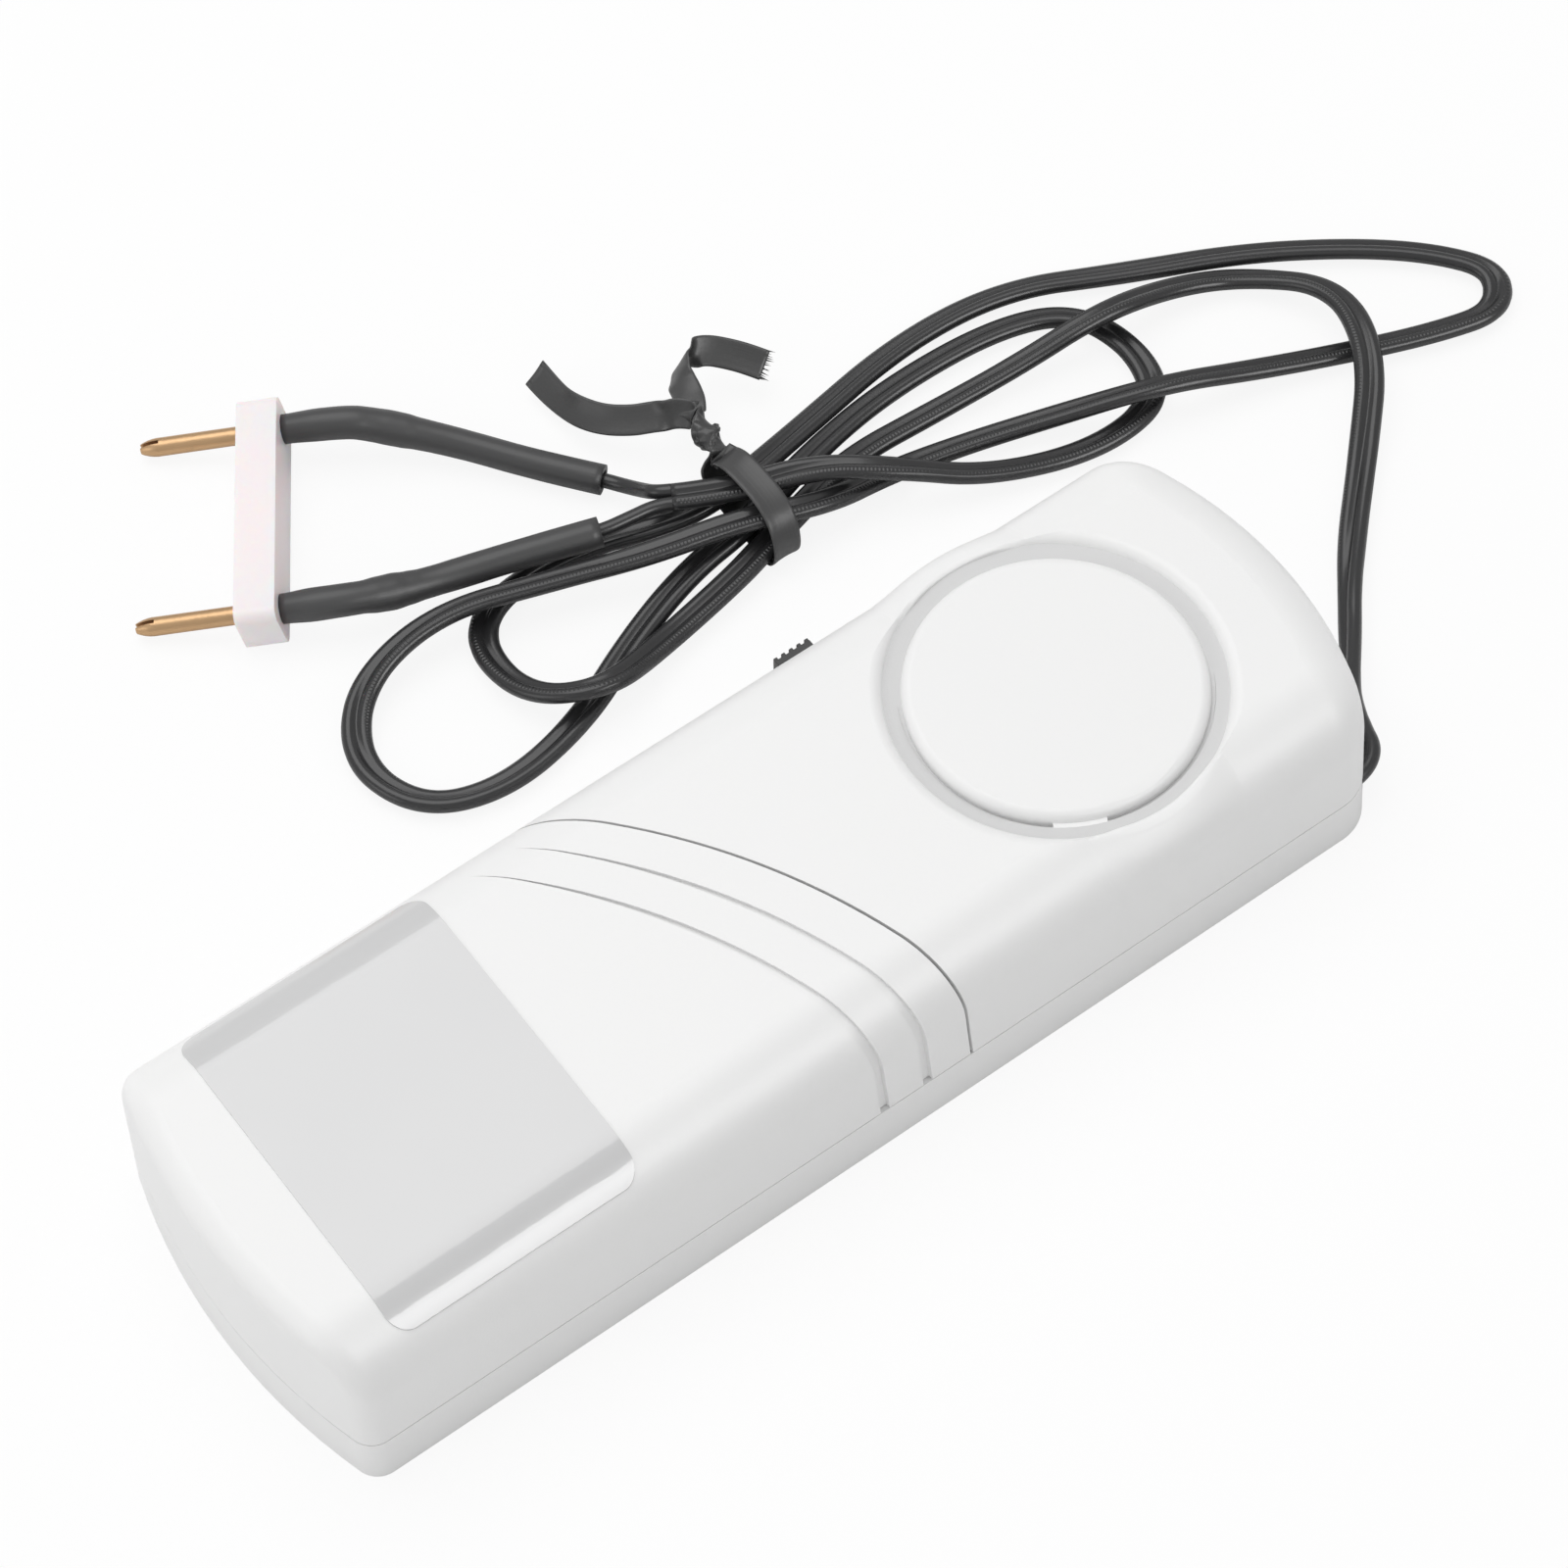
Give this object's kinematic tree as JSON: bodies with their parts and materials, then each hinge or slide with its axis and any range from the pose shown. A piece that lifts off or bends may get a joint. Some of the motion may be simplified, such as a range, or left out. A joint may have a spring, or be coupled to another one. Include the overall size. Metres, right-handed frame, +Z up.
{
  "type": "water leak alarm",
  "caption": "Slim water leak alarm: rounded housing with a slide-off battery cover, round sounder and slide switch, wired to a pin probe by a flat cord tied in a hank.",
  "frame": {"origin": "centre of the housing's flat base, on the surface that it rests on", "axes": "+X along the housing towards its sounder end, +Y towards the side with the slide switch, +Z up"},
  "size_m": [0.1354, 0.0849, 0.0171],
  "materials": {
    "shell_white": "satin moulded ABS",
    "label_film": "glossy printed film, left blank",
    "cord_black": "satin flexible PVC",
    "sleeve_black": "satin heat-shrink tube",
    "tie_black": "soft ribbon over a steel wire",
    "holder_nylon": "milky unfilled nylon",
    "pin_brass": "turned and plated",
    "board_laminate": "bare laminate",
    "chip_resin": "cured resin",
    "coil_ferrite": "sintered",
    "coil_copper": "lacquered wire",
    "transistor_black": "moulded",
    "capacitor_sleeve": "shrunk sleeve",
    "resistor_lacquer": "lacquer",
    "sounder_brass": "rolled sheet",
    "sounder_ceramic": "silvered ceramic",
    "cell_steel": "nickel-plated",
    "contact_nickel": "nickel-plated",
    "screw_steel": "zinc-plated",
    "knob_black": "moulded",
    "base_phenolic": "punched laminate",
    "wire_red": "PVC insulation",
    "wire_black": "PVC insulation"
  },
  "bodies": {
    "housing": {"bottom_shell": "shell_white", "upper_shell": "shell_white", "cord_feed": "cord_black", "cord_hank": "cord_black", "lead_upper": "cord_black", "lead_lower": "cord_black", "sensor_core_outer": "cord_black", "sensor_core_inner": "cord_black", "sleeve_upper": "sleeve_black", "sleeve_lower": "sleeve_black", "twist_tie": "tie_black", "probe_holder": "holder_nylon", "pin_upper": "pin_brass", "pin_lower": "pin_brass", "circuit_board": "board_laminate", "alarm_chip": "chip_resin", "boost_coil_core": "coil_ferrite", "boost_coil_winding": "coil_copper", "drive_transistor": "transistor_black", "filter_capacitor": "capacitor_sleeve", "resistor_1": "resistor_lacquer", "resistor_2": "resistor_lacquer", "resistor_3": "resistor_lacquer", "piezo_plate": "sounder_brass", "piezo_ceramic": "sounder_ceramic", "button_cell_1": "cell_steel", "button_cell_2": "cell_steel", "button_cell_3": "cell_steel", "spring_contact": "contact_nickel", "button_contact": "contact_nickel", "battery_spring": "contact_nickel", "switch_frame": "contact_nickel", "switch_terminal_1": "contact_nickel", "switch_terminal_2": "contact_nickel", "switch_terminal_3": "contact_nickel", "case_screw_1": "screw_steel", "case_screw_2": "screw_steel", "case_screw_3": "screw_steel", "switch_base": "base_phenolic", "battery_wire_positive": "wire_red", "piezo_wire_ceramic": "wire_red", "battery_wire_negative": "wire_black", "piezo_wire_plate": "wire_black"},
    "cover": {"battery_cover": "shell_white", "label": "label_film"},
    "switch": {"switch_knob": "knob_black", "switch_wiper": "contact_nickel"}
  },
  "joints": [
    {"name": "battery_cover_slide", "type": "slide", "parent": "housing", "child": "cover", "axis": [-1, 0, 0], "range_m": [0, 0.06]},
    {"name": "switch_slide", "type": "slide", "parent": "housing", "child": "switch", "axis": [1, 0, 0], "range_m": [0, 0.002]}
  ]
}
